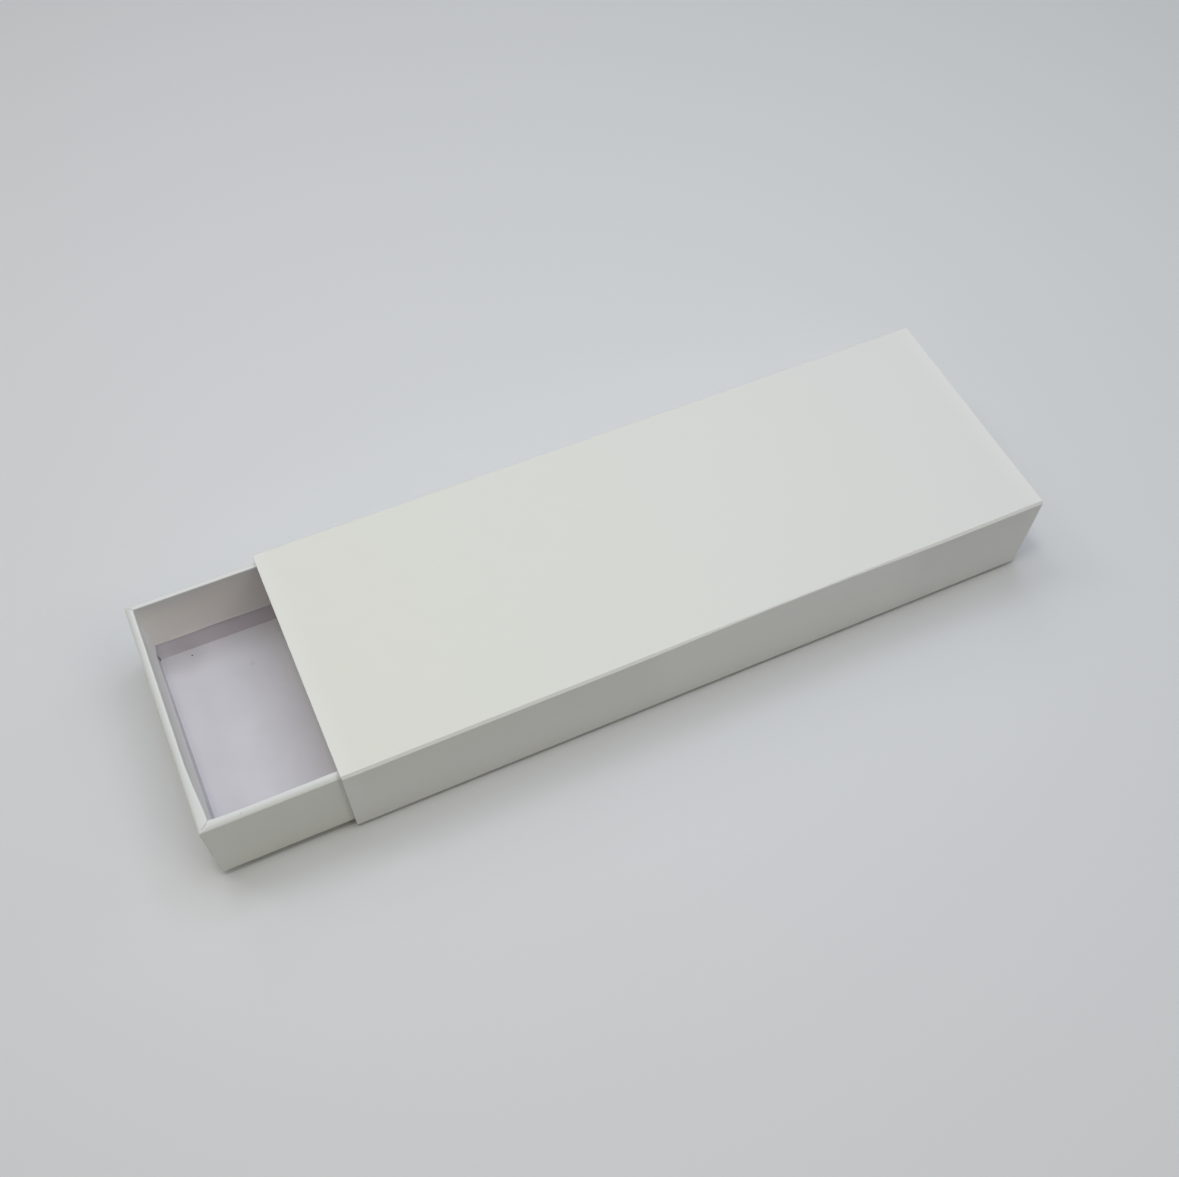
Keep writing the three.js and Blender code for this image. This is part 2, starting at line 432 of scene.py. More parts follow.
@dataclass(frozen=True)
class UncoatedWrapPaper(Finish):
    """Wood-free white wrap paper, calendered and left uncoated.

    It reads as matt and near white with a slight warm cast, faintly cloudy where the fibres lie thicker, and
    a little smoother where a fold has been rubbed down. Toward the box's right end it is painted cooler and a
    trace darker, as painted shade for the dimmer, cooler light there. Inside the tray it is painted lighter
    and warmer, for the light that bounces round in there, and lightest on the two end walls, for the light
    that falls on them.
    """

    colour: str = "#eaebe4"
    thin_colour: str = "#e9eae3"
    # Painted shade: cooler and a trace darker toward the box's right end, for the dimmer, cooler light there.
    painted_right_shade_colour: str = "#e7e8e7"
    painted_right_shade_mm: tuple[float, float] = (-90.0, 100.0)
    rubbed_colour: str = "#efefec"
    # Painted light: lighter and warmer on the turn-ins inside the tray, for the light that bounces round in
    # there.
    painted_inside_light_colour: str = "#f5f0eb"
    # Painted light: lightest on the two inner end walls, for the light that falls on them.
    painted_end_light_colour: str = "#f9f9f9"
    # Painted shade: a fine dark line along each mitre on the rim.
    painted_crease_shade_colour: str = "#c4c2bc"
    fleck_colour: str = "#6f6b66"
    cloud_mm: float = 7.0
    tooth_mm: float = 0.35
    tooth_depth_mm: float = 0.02
    tooth_strength: float = 0.25
    grain_stretch: float = 0.35
    roughness: tuple[float, float] = (0.6, 0.74)
    rubbed_roughness: float = 0.52
    marks: tuple[Mark, ...] = ()

    def surface(self, tree: NodeTree, place: NodeSocket) -> NodeSocket:
        """Add the paper's clouding, tooth, painted light and shade, wear and marks.

        Args:
            tree: The material's tree.
            place: The point on the surface.

        Returns:
            The paper's shader.
        """
        stretched = {"Vector": place, "Scale": (self.grain_stretch, 1, 1)}
        grain = add_node(tree, "Mapping", {}, stretched).outputs[0]
        clouds = {"Vector": place, "Scale": per(self.cloud_mm), "Detail": 4.0, "Roughness": 0.6}
        cloud = add_node(tree, "TexNoise", {}, clouds).outputs["Fac"]
        fibres = {"Vector": grain, "Scale": per(self.tooth_mm), "Detail": 3.0, "Roughness": 0.7}
        tooth = add_node(tree, "TexNoise", {}, fibres).outputs["Fac"]
        thin = add_node(tree, "MapRange", {}, {"Value": cloud, "From Min": 0.35, "From Max": 0.65}).outputs[0]
        # Painted shade that grows toward the box's right end.
        along = add_node(tree, "SeparateXYZ", {}, {0: place}).outputs["X"]
        start, end = (edge * MM for edge in self.painted_right_shade_mm)
        rightward = {"Value": along, "From Min": start, "From Max": end}
        right = add_node(tree, "MapRange", {}, rightward).outputs[0]
        painted_inside_light, painted_end_light, wear, crease = (
            add_node(tree, "Attribute", {"attribute_name": name}).outputs["Fac"]
            for name in ("painted_inside_light", "painted_end_light", "wear", "crease")
        )
        # The right-end tint, the lighter inside and end walls and the mitre line are painted light and shade;
        # the clouding, wear and marks are the paper's own.
        layers = (
            (thin, self.thin_colour),
            (right, self.painted_right_shade_colour),
            (painted_inside_light, self.painted_inside_light_colour),
            (painted_end_light, self.painted_end_light_colour),
            (wear, self.rubbed_colour),
            (crease, self.painted_crease_shade_colour),
            *((spot.cover(tree, place), self.fleck_colour) for spot in self.marks),
        )
        colour = self.layered(tree, self.colour, layers)
        low, high = self.roughness
        toothed = {"Value": tooth, "From Min": 0.3, "From Max": 0.7, "To Min": low, "To Max": high}
        rough = add_node(tree, "MapRange", {}, toothed).outputs[0]
        rubbed = add_node(tree, "Mix", {}, {0: wear, 2: rough, 3: self.rubbed_roughness}).outputs[0]
        gloss = {"Roughness": rubbed, "IOR": 1.5, "Specular IOR Level": 0.4}
        fuzz = {"Sheen Weight": 0.03, "Sheen Roughness": 0.6}
        relief = (self.tooth_strength, self.tooth_depth_mm)
        return self.embossed(tree, colour, tooth, relief, {**gloss, **fuzz})


@dataclass(frozen=True)
class LavenderLiningPaper(Finish):
    """Smooth lining paper with a lavender white tint in the pulp.

    It is greyer and cooler than the wrap, with a soft even surface and faint clouds where the glue has
    taken. Its upstands along the two side walls are a deeper lavender.
    """

    name: str = "lavender_lining_paper"
    colour: str = "#d6d4db"
    glued_colour: str = "#d2d0d7"
    upstand_colour: str = "#cac2ca"
    fleck_colour: str = "#2e2b33"
    cloud_mm: float = 11.0
    tooth_mm: float = 0.3
    tooth_depth_mm: float = 0.015
    tooth_strength: float = 0.2
    roughness: tuple[float, float] = (0.5, 0.62)
    marks: tuple[Mark, ...] = ()

    def surface(self, tree: NodeTree, place: NodeSocket) -> NodeSocket:
        """Add the paper's clouds of glue, its tooth, its deeper upstands and its marks.

        Args:
            tree: The material's tree.
            place: The point on the surface.

        Returns:
            The paper's shader.
        """
        clouds = {"Vector": place, "Scale": per(self.cloud_mm), "Detail": 3.0, "Distortion": 0.4}
        cloud = add_node(tree, "TexNoise", {}, clouds).outputs["Fac"]
        fibres = {"Vector": place, "Scale": per(self.tooth_mm), "Detail": 2.0}
        tooth = add_node(tree, "TexNoise", {}, fibres).outputs["Fac"]
        glued = add_node(tree, "MapRange", {}, {"Value": cloud, "From Min": 0.4, "From Max": 0.7}).outputs[0]
        upstand = add_node(tree, "Attribute", {"attribute_name": "upstand"}).outputs["Fac"]
        # Marks are flecks of dirt and patches of painted shade, all in the fleck colour.
        marks = ((spot.cover(tree, place), self.fleck_colour) for spot in self.marks)
        layers = ((glued, self.glued_colour), (upstand, self.upstand_colour), *marks)
        colour = self.layered(tree, self.colour, layers)
        low, high = self.roughness
        toothed = {"Value": tooth, "From Min": 0.3, "From Max": 0.7, "To Min": low, "To Max": high}
        rough = add_node(tree, "MapRange", {}, toothed).outputs[0]
        gloss = {"Roughness": rough, "IOR": 1.5, "Specular IOR Level": 0.4}
        return self.embossed(tree, colour, tooth, (self.tooth_strength, self.tooth_depth_mm), gloss)


@dataclass(frozen=True)
class RecycledGreyboard(Finish):
    """Recycled greyboard, pressed from waste paper.

    It is a dull warm grey with darker and lighter flecks of old print and fibre, and a rough cut face.
    """

    name: str = "recycled_greyboard"
    colour: str = "#9b978e"
    dark_colour: str = "#847f77"
    fleck_colour: str = "#5f5b57"
    cloud_mm: float = 5.0
    fleck_mm: float = 1.1
    fleck_depth: float = 0.8
    fibre_mm: float = 0.4
    fibre_depth_mm: float = 0.05
    fibre_strength: float = 0.5

    def surface(self, tree: NodeTree, place: NodeSocket) -> NodeSocket:
        """Add the board's clouding, its flecks and its fibre.

        Args:
            tree: The material's tree.
            place: The point on the surface.

        Returns:
            The board's shader.
        """
        clouds = {"Vector": place, "Scale": per(self.cloud_mm), "Detail": 5.0}
        cloud = add_node(tree, "TexNoise", {}, clouds).outputs["Fac"]
        fibres = {"Vector": place, "Scale": per(self.fibre_mm), "Detail": 4.0}
        fibre = add_node(tree, "TexNoise", {}, fibres).outputs["Fac"]
        flecks = {"Vector": place, "Scale": per(self.fleck_mm)}
        away = add_node(tree, "TexVoronoi", {}, flecks).outputs["Distance"]
        fading = {"Value": away, "From Min": 0.08, "From Max": 0.2, "To Min": self.fleck_depth, "To Max": 0.0}
        fleck = add_node(tree, "MapRange", {}, fading).outputs[0]
        colour = self.layered(tree, self.colour, ((cloud, self.dark_colour), (fleck, self.fleck_colour)))
        gloss = {"Roughness": 0.9, "Specular IOR Level": 0.25}
        return self.embossed(tree, colour, fibre, (self.fibre_strength, self.fibre_depth_mm), gloss)


@dataclass(frozen=True)
class GummedKraftTape(Finish):
    """Brown kraft tape with a film of gum on one face.

    It is a warm brown with long fibres along the tape and a slight sheen from the gum.
    """

    name: str = "gummed_kraft_tape"
    colour: str = "#b8925f"
    dark_colour: str = "#9d7846"
    fibre_mm: float = 0.8
    fibre_depth_mm: float = 0.03
    fibre_strength: float = 0.3
    stretch: float = 0.2
    roughness: tuple[float, float] = (0.45, 0.65)

    def surface(self, tree: NodeTree, place: NodeSocket) -> NodeSocket:
        """Add the tape's long fibres.

        Args:
            tree: The material's tree.
            place: The point on the surface.

        Returns:
            The tape's shader.
        """
        along = add_node(tree, "Mapping", {}, {"Vector": place, "Scale": (1, 1, self.stretch)}).outputs[0]
        fibres = {"Vector": along, "Scale": per(self.fibre_mm), "Detail": 5.0, "Roughness": 0.65}
        fibre = add_node(tree, "TexNoise", {}, fibres).outputs["Fac"]
        colour = self.layered(tree, self.colour, ((fibre, self.dark_colour),))
        low, high = self.roughness
        fibrous = {"Value": fibre, "From Min": 0.3, "From Max": 0.7, "To Min": low, "To Max": high}
        rough = add_node(tree, "MapRange", {}, fibrous).outputs[0]
        gloss = {"Roughness": rough, "Specular IOR Level": 0.45}
        return self.embossed(tree, colour, fibre, (self.fibre_strength, self.fibre_depth_mm), gloss)


@dataclass(frozen=True)
class MattTableTop(Finish):
    """The plain pale sheet that the box lies on, matt so that the lamps leave no spot on it.

    Far from the box it is seen in the backdrop's colour, so that no horizon shows behind a low view.
    """

    name: str = "matt_table_top"
    fade_middle: tuple[float, float, float] = (31.0, 95.0, 0.0)
    fade_mm: tuple[float, float] = (293.0, 480.0)
    colour: str = "#e2e4e7"
    cloud_colour: str = "#e1e3e6"
    cloud_mm: float = 90.0

    def surface(self, tree: NodeTree, place: NodeSocket) -> NodeSocket:
        """Add the sheet's faint clouding, and the fade into the backdrop.

        Args:
            tree: The material's tree.
            place: The point on the surface.

        Returns:
            The sheet's shader.
        """
        cloud = add_node(tree, "TexNoise", {}, {"Vector": place, "Scale": per(self.cloud_mm)}).outputs["Fac"]
        colour = self.layered(tree, self.colour, ((cloud, self.cloud_colour),))
        laid = {"Base Color": colour, "Roughness": 0.9, "Specular IOR Level": 0.1}
        sheet = add_node(tree, "BsdfPrincipled", {}, laid).outputs[0]
        backdrop = add_node(tree, "Emission", {}, {"Color": linear(BACKDROP), "Strength": 1.0})
        middle = tuple(value * MM for value in self.fade_middle)
        away = add_node(tree, "VectorMath", {"operation": "DISTANCE"}, {0: place, 1: middle}).outputs["Value"]
        near, far = (edge * MM for edge in self.fade_mm)
        fade = {"Value": away, "From Min": near, "From Max": far}
        share = add_node(tree, "MapRange", {"interpolation_type": "SMOOTHSTEP"}, fade).outputs[0]
        seen = add_node(tree, "LightPath").outputs["Is Camera Ray"]
        faded = add_node(tree, "Math", {"operation": "MULTIPLY"}, {0: share, 1: seen}).outputs[0]
        return add_node(tree, "MixShader", {}, {0: faded, 1: sheet, 2: backdrop.outputs[0]}).outputs[0]


@dataclass(frozen=True)
class Fitting:
    """How a new piece joins the frame: its body and the CAD nodes that it stands for. Its stock is not used.
    """

    name: str
    body: Body
    stock: Stock
    stands_for: tuple[str, ...]

    def hand_over(self, bm: BMesh, material: Material) -> None:
        """Turn a mesh in millimetres into a finished piece in metres, riding on its body.

        Args:
            bm: The mesh, which is used up.
            material: The piece's finish.
        """
        bmesh.ops.scale(bm, vec=(MM, MM, MM), verts=bm.verts)
        mesh = bpy.data.meshes.new(self.name)
        bm.to_mesh(mesh)
        bm.free()
        mesh.polygons.foreach_set("use_smooth", [True] * len(mesh.polygons))
        mesh.set_sharp_from_angle(angle=FLAT_ANGLE)
        mesh.materials.append(material)
        piece = add_object(self.name, mesh)
        weighted = piece.modifiers.new("flat_faces", "WEIGHTED_NORMAL")
        weighted.keep_sharp = True
        weighted.weight = 100
        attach(piece, self.body.value)
        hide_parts(*self.stands_for)
        faces = len(mesh.polygons)
        LOG.info("%s: %d faces, on the %s, for %s", self.name, faces, self.body.value, self.stands_for)


def dress(node: str, material: Material) -> None:
    """Give a CAD node that stays its finish.

    Args:
        node: The node's name.
        material: The finish.
    """
    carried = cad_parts[node]
    carried.data.materials.clear()
    carried.data.materials.append(material)
    LOG.info("%s: kept, dressed in %s", node, material.name)


# The sleeve


@dataclass
class Sleeve:
    """The open tube of four boards, wrapped in one sheet that is turned in at both mouths."""

    wrap_paper: Material
    lining_paper: Material
    greyboard: Material
    length: float = 200.0
    width: float = 71.0
    height: float = 27.5
    board: float = 0.8
    wrap: float = 0.15
    turn_in: float = 16.0
    mouth_fold: float = 0.2
    fold_steps: int = 4
    bridge_leg: float = 0.7
    foot_leg: float = 0.2
    crease_round: float = 0.14
    crease_steps: int = 2
    score_share: float = 0.3
    score_depth: float = 0.05
    station: float = 5.0
    press_depth: float = 0.42
    press_middle: float = 27.0
    press_left: tuple[float, float] = (4.0, 58.0)
    press_right: tuple[float, float] = (8.0, 42.0)
    seam_place: float = 9.0
    seam_edge: float = 0.05
    seam_step: float = 0.08
    seam_slope: float = 2.5
    rub_margin: float = 0.05
    rub_share: float = 0.9

    @property
    def half_width(self) -> float:
        """Half of the width across the outside."""
        return self.width / 2

    @property
    def end(self) -> float:
        """Half of the length."""
        return self.length / 2

    @property
    def turn_in_face(self) -> float:
        """How far the turn-ins' faces lie in from the outside."""
        return self.wrap + self.board + self.wrap

    def build(self) -> None:
        """Make the sleeve's pieces and dress the CAD nodes that stay."""
        wrapping = Fitting("sleeve_paper", Body.SLEEVE, Stock.WRAP, ("sleeve_wrap",))
        wrapping.hand_over(self.wrapping(), self.wrap_paper)
        panel = Fitting("sleeve_pressed_front_board", Body.SLEEVE, Stock.BOARD, ("sleeve_front_board",))
        panel.hand_over(self.front_panel(), self.greyboard)
        for side in ("top", "bottom", "back"):
            dress(f"sleeve_{side}_board", self.greyboard)
        dress("sleeve_lining", self.lining_paper)

    def dent(self, along: float) -> float:
        """Give how far a thumb has pressed the front's top edge at one place, as a share of the deepest.

        Args:
            along: The place along the box.

        Returns:
            A share from 0 to 1.
        """
        away = along - self.press_middle
        start, end = self.press_left if away < 0 else self.press_right
        return 1.0 - ramp(abs(away), start, end)

    def pressed(self, along: float, up: float) -> float:
        """Give how far the front has been pressed in at one place along the box and one height."""
        return self.press_depth * self.dent(along) * min(max(up / self.height, 0.0), 1.0)

    def tube(self) -> BMesh:
        """Make the outside of the tube, with the flats where the wrap bridges the boards' notches.

        Returns:
            An open tube that stops short of the two mouth folds.
        """
        end = self.end - self.mouth_fold
        bm = block((-end, -self.half_width, 0), (end, self.half_width, self.height))
        caps = [f for f in bm.faces if abs(f.normal.x) > MOSTLY]
        bmesh.ops.delete(bm, geom=caps, context="FACES_ONLY")
        for level, leg in ((0.0, self.foot_leg), (self.height, self.bridge_leg)):
            folds = [e for e in bm.edges if not e.is_boundary]
            bevel(bm, [e for e in folds if all(abs(v.co.z - level) < CLOSE for v in e.verts)], leg, 1)
        bevel(bm, [e for e in bm.edges if not e.is_boundary], self.crease_round, self.crease_steps)
        self.score_flats(bm)
        cut_evenly(bm, (1, 0, 0), end, self.station)
        return bm

    def score_flats(self, bm: BMesh) -> None:
        """Sink a faint line along each flat, near the face that it meets on top or below.

        Args:
            bm: The tube.
        """
        bm.normal_update()
        middle = self.height / 2
        for side in (-1, 1):
            for level, leg in ((-1, self.foot_leg), (1, self.bridge_leg)):
                outward = Vector((0, side, level)).normalized()
                across = Vector((0, side, -level)).normalized()
                start = Vector((0, side * (self.half_width - leg), middle + level * middle))
                point = start + across * leg * math.sqrt(2) * self.score_share
                flats = [f for f in bm.faces if f.normal.dot(outward) > SQUARELY]
                for vert in cut(bm, point, across, flats):
                    vert.co -= outward * self.score_depth
        bm.normal_update()

    def press_front(self, bm: BMesh) -> None:
        """Press the front in a little at its middle, as a hand has done.

        Args:
            bm: The tube.
        """
        flat_start = self.half_width - self.bridge_leg
        for vert in bm.verts:
            side = min(max((-vert.co.y - flat_start) / self.bridge_leg, 0.0), 1.0)
            vert.co.y += side * self.pressed(vert.co.x, vert.co.z)
            if vert.co.z > self.height - 2 * self.bridge_leg:
                vert.co.z += side * self.press_depth * self.dent(vert.co.x)

    def lap_seam(self, bm: BMesh) -> None:
        """Lap the sheet's two edges along the underside.

        Args:
            bm: The tube.
        """
        for reach, lift in ((0.0, 0.0), (self.seam_edge, self.seam_step), (self.seam_slope, 0.0)):
            below = [f for f in bm.faces if f.normal.z < -MOSTLY and f.calc_center_median().z < self.foot_leg]
            for vert in cut(bm, (0, self.seam_place + reach, 0), (0, 1, 0), below):
                vert.co.z += lift
            bm.normal_update()

    def fold_mouth(self, bm: BMesh, home: BMLayerItem, mouth: Mouth) -> None:
        """Fold the sheet over one mouth and paste it down inside.

        Args:
            bm: The tube.
            home: Where each point was before the folds.
            mouth: Which mouth.
        """
        sign = mouth.value
        edges = [e for e in bm.edges if e.is_boundary and all(v.co.x * sign > 0 for v in e.verts)]
        middle = self.height / 2
        fold = self.mouth_fold
        inner = self.turn_in_face
        corner = self.bridge_leg + self.crease_round + CLOSE

        def placed(inset: float, along: float, square: float) -> Callable[[BMVert], Vector]:
            """Place a ring whose corners lie between bevelled and square.

            Args:
                inset: How far the ring lies in from the outside.
                along: How far it lies from the sleeve's middle.
                square: How square its corners are, from 0 to 1.

            Returns:
                A function that gives each point of the ring its place.
            """

            def place(vert: BMVert) -> Vector:
                """Give one point of the ring its place.

                Args:
                    vert: The point.

                Returns:
                    Its place.
                """
                at = vert[home]
                y = at.y * (self.half_width - inset) / self.half_width
                z = middle + (at.z - middle) * (middle - inset) / middle
                if abs(at.y) > self.half_width - corner and abs(at.z - middle) > middle - corner:
                    y += (math.copysign(self.half_width - inset, at.y) - y) * square
                    z += (middle + math.copysign(middle - inset, at.z - middle) - z) * square
                return Vector((along * sign, y, z))

            return place

        for i in range(1, self.fold_steps + 1):
            angle = math.pi / 2 * i / self.fold_steps
            inset = fold * (1 - math.cos(angle))
            edges = carry(bm, edges, placed(inset, self.end - fold * (1 - math.sin(angle)), 0.0))
        for i in range(self.fold_steps + 1):
            angle = math.pi / 2 * i / self.fold_steps
            inset = inner - fold + fold * math.sin(angle)
            edges = carry(bm, edges, placed(inset, self.end - fold * (1 - math.cos(angle)), 1.0))
        for depth in (self.turn_in / 2, self.turn_in):
            edges = carry(bm, edges, placed(inner, self.end - depth, 1.0))

    def wrapping(self) -> BMesh:
        """Make the sheet of paper round the sleeve.

        Returns:
            The closed sheet, with its thickness.
        """
        bm = self.tube()
        self.press_front(bm)
        self.lap_seam(bm)
        home = remember(bm)
        for mouth in Mouth:
            self.fold_mouth(bm, home, mouth)
        close_seams(bm)
        bmesh.ops.solidify(bm, geom=list(bm.faces), thickness=self.wrap)
        mark(bm, "wear", self.wear)
        return bm

    def wear(self, vert: BMVert) -> float:
        """Give how much a point has been rubbed: most on the mouth folds and along the creases.

        Args:
            vert: The point.

        Returns:
            A share from 0 to 1.
        """
        at_mouth = ramp(abs(vert.co.x), self.end - 2 * self.mouth_fold, self.end - self.rub_margin)
        from_face = self.height / 2 - abs(vert.co.z - self.height / 2)
        from_side = self.half_width - abs(vert.co.y)
        past_flat = max(from_face, from_side) - self.bridge_leg
        return max(at_mouth, 1.0 - ramp(past_flat, 0.0, self.rub_share * self.crease_round))

    def front_panel(self) -> BMesh:
        """Make the front board, hollowed where it has been pressed in.

        Returns:
            The closed board.
        """
        low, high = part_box("sleeve_front_board")
        bm = block(low / MM, high / MM)
        cut_evenly(bm, (1, 0, 0), self.end, self.station)
        outer = low.y / MM
        for vert in bm.verts:
            if abs(vert.co.y - outer) < CLOSE:
                vert.co.y += self.pressed(vert.co.x, vert.co.z)
        bmesh.ops.recalc_face_normals(bm, faces=bm.faces)
        return bm


# The tray


@dataclass(frozen=True)
class Flare:
    """How a rim has been drawn in near one corner, in millimetres.

    The insets say where the drawing in starts, is full and stops, and the run where it starts to fade along
    the wall and is gone.
    """

    reach: float
    insets: tuple[float, float, float]
    run: tuple[float, float]
    power: float = 1.0

    def at(self, inset: float, along: float) -> float:
        """Give how far one point of the rim moves.

        Args:
            inset: How far the point lies in from the wall's outside.
            along: How far it lies from the corner.

        Returns:
            The distance.
        """
        start, full, stop = self.insets
        if not start < inset < stop:
            return 0.0
        return self.reach * ramp(inset, start, full) * (1 - ramp(along, *self.run)) ** self.power


@dataclass
class Tray:
    """The open tray of five boards, wrapped in one sheet over its rim, with a lining on its floor.

    The rim's profile is given by how far in from the outside and how far under its highest level each point
    lies. The cove's steps are shares of the lining's crease and of the flap, first outwards and then up.
    """

    wrap_paper: Material
    lining_paper: Material
    greyboard: Material
    tape: Material
    place: float = -35.2
    length: float = 199.0
    width: float = 68.4
    under: float = 1.2
    rim: float = 26.1
    rim_out: tuple[tuple[float, float], ...] = (
        (0.0, 0.98), (0.02, 0.88), (0.08, 0.78), (0.3, 0.55),
        (0.65, 0.3), (1.05, 0.12), (1.45, 0.02), (1.68, 0.0),
    )
    rim_in: tuple[tuple[float, float], ...] = (
        (1.8, 0.03), (1.89, 0.09), (1.95, 0.17), (1.985, 0.26), (2.0, 0.38),
    )
    wall: float = 2.0
    wrap: float = 0.15
    pared_share: float = 1.6
    foot: float = 8.1
    wall_rings: tuple[float, ...] = (20.0, 14.0)
    foot_rings: tuple[float, ...] = (1.2, 0.45, 0.0)
    station: float = 6.0
    corner_round: float = 0.35
    corner_steps: int = 4
    corner_growth: float = 1.2
    rim_corner_round: float = 0.9
    square_inset: float = 1.66
    square_share: float = 0.9
    seam_in: float = 0.9
    seam_edge: float = 0.05
    seam_depth: float = 0.06
    mitre_half: float = 0.12
    mitre_depth: float = 0.13
    mitre_reach: float = 0.3
    mitre_fade: tuple[float, float] = (0.5, 0.9)
    mitre_margin: float = 0.03
    slit_foot: float = 0.015
    corner_bulge: float = 0.7
    curl: float = 0.12
    curl_height: float = 0.6
    cut_height: float = 1.0
    cut_waves: tuple[tuple[float, float, float], ...] = ((0.1, 0.31, 0.23), (0.06, 0.83, 0.0))
    flare_levels: tuple[float, float] = (16.0, 24.0)
    end_flare: Flare = Flare(1.0, (0.4, 1.6, 4.0), (1.2, 21.2), 1.3)
    side_flare: Flare = Flare(0.45, (0.7, 2.0, 4.0), (1.0, 9.0))
    rub_margin: float = 0.1
    rubbed_corner: float = 0.3
    # Where the painted light inside the tray starts and is full, in from the outside.
    painted_inside_light_insets: tuple[float, float] = (1.6, 1.95)
    lining: float = 0.1
    floor: float = 3.05
    floor_steps: tuple[int, int] = (28, 10)
    cove_sides: float = 1.9
    cove_ends: float = 0.85
    cove_round: float = 0.2
    cove_shares: tuple[tuple[float, float, float, float], ...] = (
        (0.3, 0.0, 0.08, 0.0),
        (0.7, 0.0, 0.45, 0.0),
        (0.6, 0.35, 0.0, 0.3),
        (0.0, 0.8, 0.0, 0.65),
        (0.0, 1.0, 0.0, 1.0),
    )
    tucked: tuple[float, float] = (0.04, 1.0)
    cove_turn: float = 0.5
    turn_reach: float = 1.0
    flap_slit: float = 0.1
    flap_power: float = 0.8
    corner_hole: float = 0.25
    hole_start: float = 0.2
    crease_share: float = 0.4

    @property
    def end(self) -> float:
        """Half of the length."""
        return self.length / 2

    @property
    def side(self) -> float:
        """Half of the width."""
        return self.width / 2

    @property
    def spring(self) -> float:
        """The level at which the rim's round starts outside."""
        return self.rim - self.rim_out[0][1]

    @property
    def inner_spring(self) -> float:
        """The level at which the rim's round ends inside."""
        return self.rim - self.rim_in[-1][1]

    def build(self) -> None:
        """Make the tray's pieces and dress the CAD nodes that stay."""
        wrapping = Fitting("tray_paper", Body.TRAY, Stock.WRAP, ("tray_wrap",))
        wrapping.hand_over(self.wrapping(), self.wrap_paper)
        lining = Fitting("tray_floor_lining", Body.TRAY, Stock.LINING, ("tray_lining",))
        lining.hand_over(self.floor_lining(), self.lining_paper)
        for wall in Wall:
            name = wall.name.lower()
            board = Fitting(f"tray_pared_{name}_board", Body.TRAY, Stock.BOARD, (f"tray_{name}_board",))
            board.hand_over(self.pared_board(board.stands_for[0], wall), self.greyboard)
        dress("tray_base_board", self.greyboard)
        for node in sorted(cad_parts):
            if node.startswith("tray_") and node.endswith("_tape"):
                dress(node, self.tape)

    def pared_board(self, node: str, wall: Wall) -> BMesh:
        """Make a wall board whose top edge is pared off on the outside, so that the wrap slopes over it.

        Args:
            node: The CAD board.
            wall: The wall that it stands in.

        Returns:
            The closed board.
        """
        bm = bmesh.new()
        bm.from_mesh(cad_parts[node].data)
        bmesh.ops.scale(bm, vec=(1 / MM, 1 / MM, 1 / MM), verts=bm.verts)
        bmesh.ops.remove_doubles(bm, verts=bm.verts, dist=TOUCH)
        middle = Vector((self.place, 0, 0))
        face = self.side if wall.is_long else self.end
        for vert in bm.verts:
            drop = self.rim_drop(face - (vert.co - middle).dot(wall.out))
            vert.co.z = min(vert.co.z, self.rim - drop - self.pared_share * self.wrap)
        bmesh.ops.recalc_face_normals(bm, faces=bm.faces)
        return bm

    def rim_drop(self, inset: float) -> float:
        """Give how far the rim has fallen from its highest level at one place.

        Args:
            inset: How far the place lies in from the outside.

        Returns:
            The drop.
        """
        for (start, high), (end, low) in zip(self.rim_out, self.rim_out[1:]):
            if inset <= end:
                return high + (low - high) * max(inset - start, 0.0) / (end - start)
        return 0.0

    def shell(self) -> BMesh:
        """Make the outside of the tray up to where its rim starts to turn.

        Returns:
            An open shell with rounded corners, round the middle of the tray.
        """
        bm = block((-self.end, -self.side, self.under), (self.end, self.side, self.spring))
        bmesh.ops.delete(bm, geom=[f for f in bm.faces if f.normal.z > MOSTLY], context="FACES_ONLY")
        bevel(bm, [e for e in bm.edges if not e.is_boundary], self.corner_round, self.corner_steps)
        cut_evenly(bm, (1, 0, 0), self.end, self.station)
        cut_evenly(bm, (0, 1, 0), self.side, self.station)
        self.end_seams(bm)
        return bm

    def end_seams(self, bm: BMesh) -> None:
        """Show the edges of the end panels' paper, lapped over the flaps that come round the corners.

        Args:
            bm: The shell.
        """
        for sign in (-1, 1):
            for reach, sink in ((self.seam_in, 0.0), (self.seam_in - self.seam_edge, self.seam_depth)):
                bm.normal_update()
                ends = [f for f in bm.faces if abs(f.normal.x) > SQUARELY]
                for vert in cut(bm, (0, sign * (self.side - reach), 0), (0, 1, 0), ends):
                    vert.co.x -= math.copysign(sink, vert.co.x)

    def inset_place(self, home: BMLayerItem, inset: float, level: float) -> Callable[[BMVert], Vector]:
        """Place a ring of the rim or turn-in, rounder over the rim and square inside.

        Args:
            home: Where each point was before the folds.
            inset: How far the ring lies in from the outside.
            level: The ring's height.

        Returns:
            A function that gives each point of the ring its place.
        """
        squared = self.square_share * max(0.0, self.square_inset - inset)
        corner = min(self.corner_round + self.corner_growth * inset, self.rim_corner_round, squared)

        def place(vert: BMVert) -> Vector:
            """Give one point of the ring its place.

            Args:
                vert: The point.

            Returns:
                Its place.
            """
            at = vert[home]
            reach_x = abs(at.x) - (self.end - self.corner_round)
            reach_y = abs(at.y) - (self.side - self.corner_round)
            x = min(abs(at.x), self.end - inset - (corner if reach_y > -TOUCH else 0.0))
            y = min(abs(at.y), self.side - inset - (corner if reach_x > -TOUCH else 0.0))
            if min(reach_x, reach_y) > -TOUCH:
                turn = math.atan2(max(reach_y, 0.0), max(reach_x, 0.0))
                x = self.end - inset - corner * (1 - math.cos(turn))
                y = self.side - inset - corner * (1 - math.sin(turn))
            return Vector((math.copysign(x, at.x), math.copysign(y, at.y), level))

        return place

